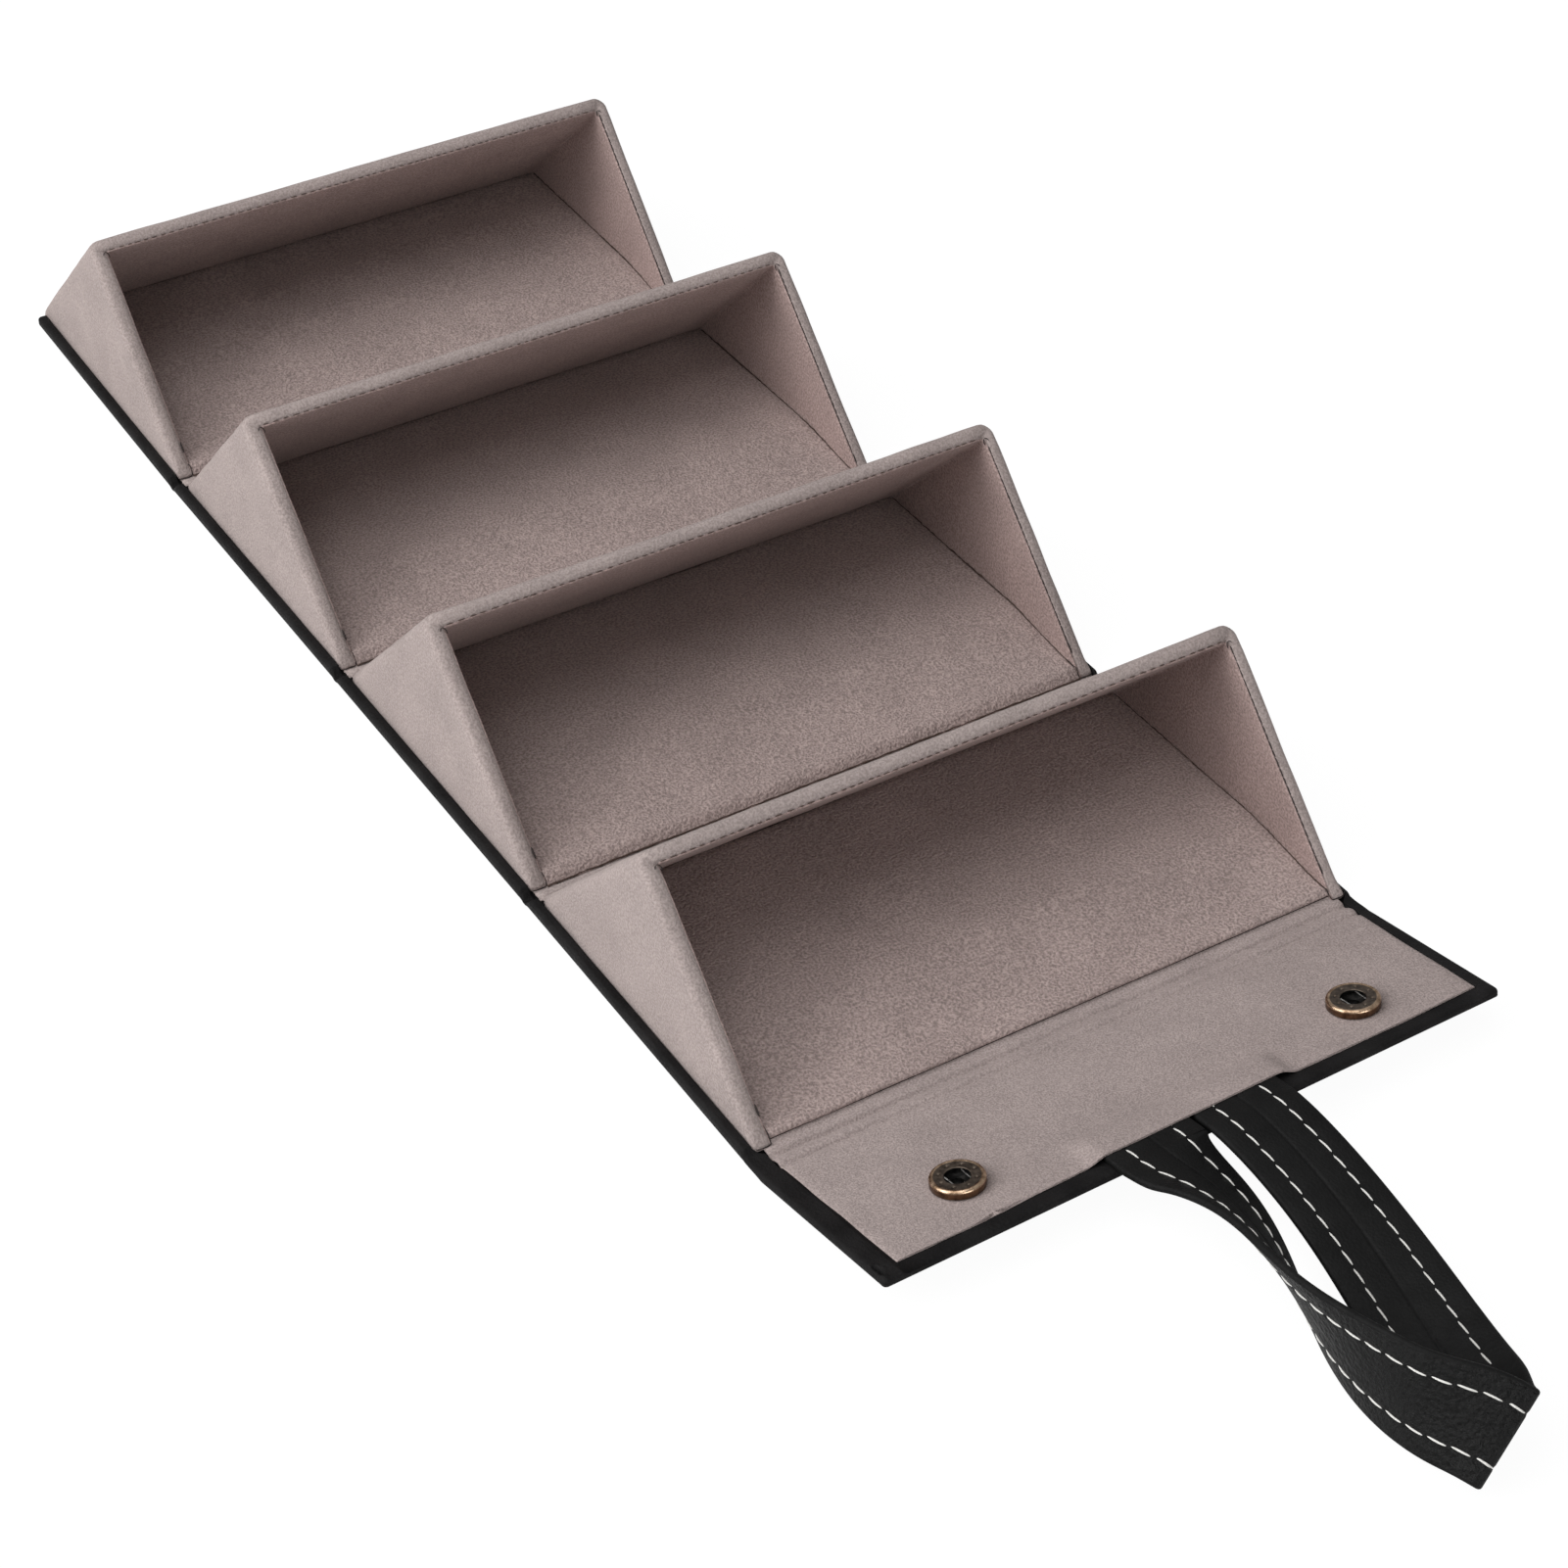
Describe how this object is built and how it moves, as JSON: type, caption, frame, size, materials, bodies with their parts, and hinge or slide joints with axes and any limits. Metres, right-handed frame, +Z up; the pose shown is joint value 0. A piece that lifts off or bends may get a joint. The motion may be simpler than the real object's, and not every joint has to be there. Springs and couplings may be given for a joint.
{
  "type": "sunglasses storage case",
  "caption": "Roll-up case for sunglasses: velvet-lined three-cornered trays on a folding leather strip, closed by a flap with press snaps, with a leather strap loop.",
  "frame": {"origin": "on the table, under the middle of the unrolled case's box", "axes": "+Y along the strip from the flap towards the first tray, +X along the trays, +Z up"},
  "size_m": [0.1858, 0.6198, 0.0585],
  "materials": {
    "velvet": "short taupe nap",
    "leather": "black, fine grain, semi-matte",
    "board": "grey board",
    "brass": "antique, worn bright at the edges",
    "spring_steel": "drawn wire"
  },
  "bodies": {
    "tray_1": {"cover_leather_1": "leather", "cover_board_1": "board", "tray_floor_1": "board", "floor_pad_1": "velvet", "back_wall_1": "velvet", "end_wall_left_1": "velvet", "end_wall_right_1": "velvet", "stud_left": "brass", "stud_right": "brass", "stud_rivet_left": "brass", "stud_rivet_right": "brass"},
    "tray_2": {"cover_leather_2": "leather", "cover_board_2": "board", "tray_floor_2": "board", "floor_pad_2": "velvet", "back_wall_2": "velvet", "end_wall_left_2": "velvet", "end_wall_right_2": "velvet", "fold_hinge_1": "leather"},
    "tray_3": {"cover_leather_3": "leather", "cover_board_3": "board", "tray_floor_3": "board", "floor_pad_3": "velvet", "back_wall_3": "velvet", "end_wall_left_3": "velvet", "end_wall_right_3": "velvet", "fold_hinge_2": "leather", "fold_hinge_3": "leather"},
    "tray_4": {"cover_leather_4": "leather", "cover_board_4": "board", "tray_floor_4": "board", "floor_pad_4": "velvet", "back_wall_4": "velvet", "end_wall_left_4": "velvet", "end_wall_right_4": "velvet", "flap_hinge": "leather", "flap_hinge_lining": "velvet"},
    "flap": {"flap_leather": "leather", "flap_board": "board", "flap_lining": "velvet", "socket_left": "brass", "socket_right": "brass", "socket_spring_left": "spring_steel", "socket_spring_right": "spring_steel", "snap_cap_left": "brass", "snap_cap_right": "brass", "strap_tab_left": "leather", "strap_tab_right": "leather"},
    "strap": {"carry_strap": "leather"}
  },
  "joints": [
    {"name": "fold_1_2", "type": "hinge", "parent": "tray_2", "child": "tray_1", "pos_m": [0, 0.19826, 0.0004], "axis": [1, 0, 0], "range_deg": [-1.91, 88.09], "deforming": ["fold_hinge_1"]},
    {"name": "fold_2_3", "type": "hinge", "parent": "tray_3", "child": "tray_2", "pos_m": [0, 0.08486, 0.0004], "axis": [1, 0, 0], "range_deg": [0, 90], "deforming": ["fold_hinge_2"]},
    {"name": "fold_3_4", "type": "hinge", "parent": "tray_3", "child": "tray_4", "pos_m": [0, -0.02854, 0.0004], "axis": [-1, 0, 0], "range_deg": [0, 90], "deforming": ["fold_hinge_3"]},
    {"name": "flap_fold", "type": "hinge", "parent": "tray_4", "child": "flap", "pos_m": [0, -0.14844, 0.0004], "axis": [-1, 0, 0], "range_deg": [-11.5, 78.5], "deforming": ["flap_hinge", "flap_hinge_lining"]},
    {"name": "strap_swing", "type": "hinge", "parent": "flap", "child": "strap", "pos_m": [0, -0.19933, 0.01361], "axis": [1, 0, 0], "range_deg": [-60, 90]}
  ]
}
